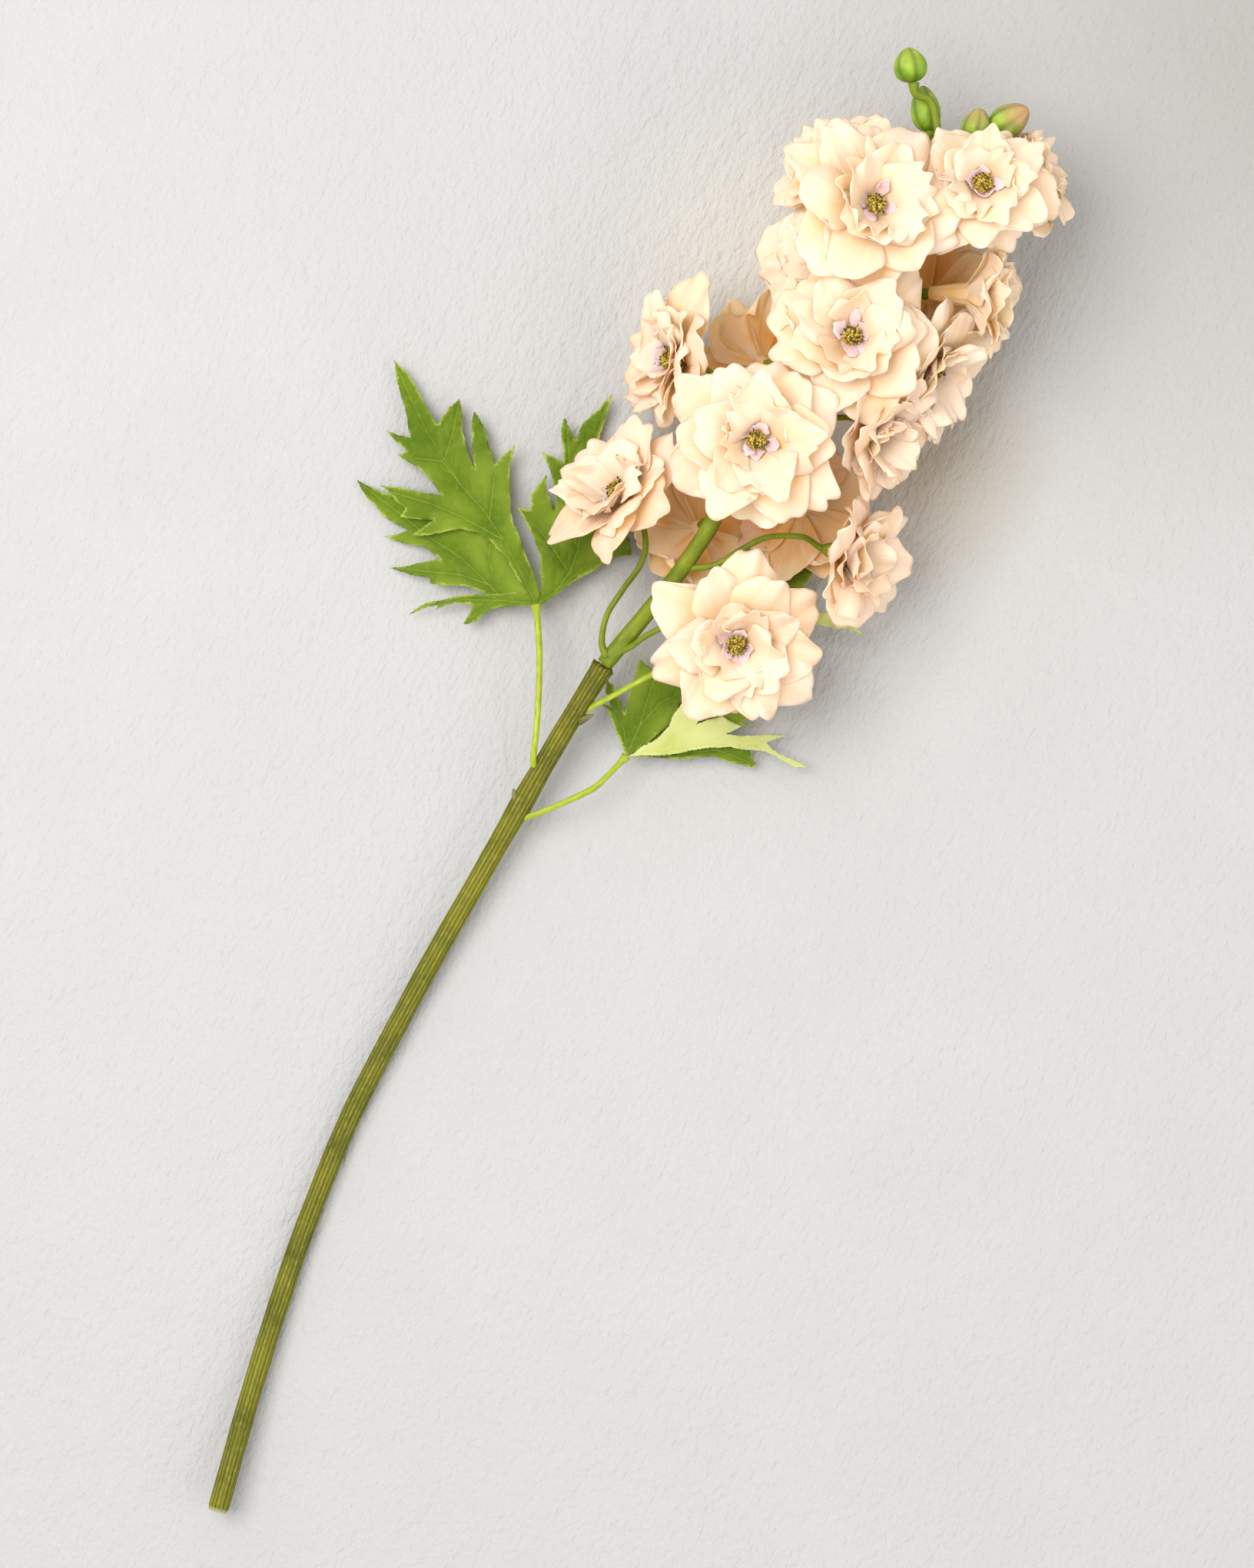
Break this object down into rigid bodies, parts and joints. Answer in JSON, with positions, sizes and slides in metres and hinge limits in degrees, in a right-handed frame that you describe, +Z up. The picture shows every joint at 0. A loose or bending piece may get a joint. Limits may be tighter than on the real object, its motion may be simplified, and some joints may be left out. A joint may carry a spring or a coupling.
{
  "type": "delphinium stem",
  "caption": "Artificial delphinium stem lying down, with a spike of cream double blooms, green buds and cut-edged leaves.",
  "frame": {"origin": "on the surface that the stem lies on, under the middle of its bounding box", "axes": "+Y along the stem from the cut end to the buds, +Z up from the surface"},
  "size_m": [0.2369, 0.6864, 0.1065],
  "materials": {
    "stem_green": "satin ribbed",
    "axis_green": "satin",
    "leaf_green": "matt woven",
    "petal_cream": "soft translucent",
    "eye_gold": "matt",
    "bud_green": "satin"
  },
  "bodies": {
    "root": {"bloom_centre": "petal_cream", "bloom_left": "petal_cream", "bloom_low_front": "petal_cream", "bloom_low_left": "petal_cream", "bloom_low_right": "petal_cream", "bloom_right": "petal_cream", "bloom_right_back": "petal_cream", "bloom_top_front": "petal_cream", "bloom_top_left": "petal_cream", "bloom_top_right": "petal_cream", "bloom_top_right_back": "petal_cream", "bloom_under_left": "petal_cream", "bloom_under_low_left": "petal_cream", "bloom_under_low_right": "petal_cream", "bloom_under_right": "petal_cream", "bloom_upper_centre": "petal_cream", "bloom_upper_left": "petal_cream", "bloom_upper_right": "petal_cream", "bud_1": "bud_green", "bud_2": "bud_green", "bud_3": "bud_green", "bud_4": "bud_green", "eye_centre": "eye_gold", "eye_left": "eye_gold", "eye_low_front": "eye_gold", "eye_low_left": "eye_gold", "eye_low_right": "eye_gold", "eye_right": "eye_gold", "eye_right_back": "eye_gold", "eye_top_front": "eye_gold", "eye_top_left": "eye_gold", "eye_top_right": "eye_gold", "eye_top_right_back": "eye_gold", "eye_under_left": "eye_gold", "eye_under_low_left": "eye_gold", "eye_under_low_right": "eye_gold", "eye_under_right": "eye_gold", "eye_upper_centre": "eye_gold", "eye_upper_left": "eye_gold", "eye_upper_right": "eye_gold", "flower_axis": "axis_green", "leaf_left": "leaf_green", "leaf_right": "leaf_green", "leaf_under": "leaf_green", "main_stem": "stem_green"}
  },
  "joints": []
}
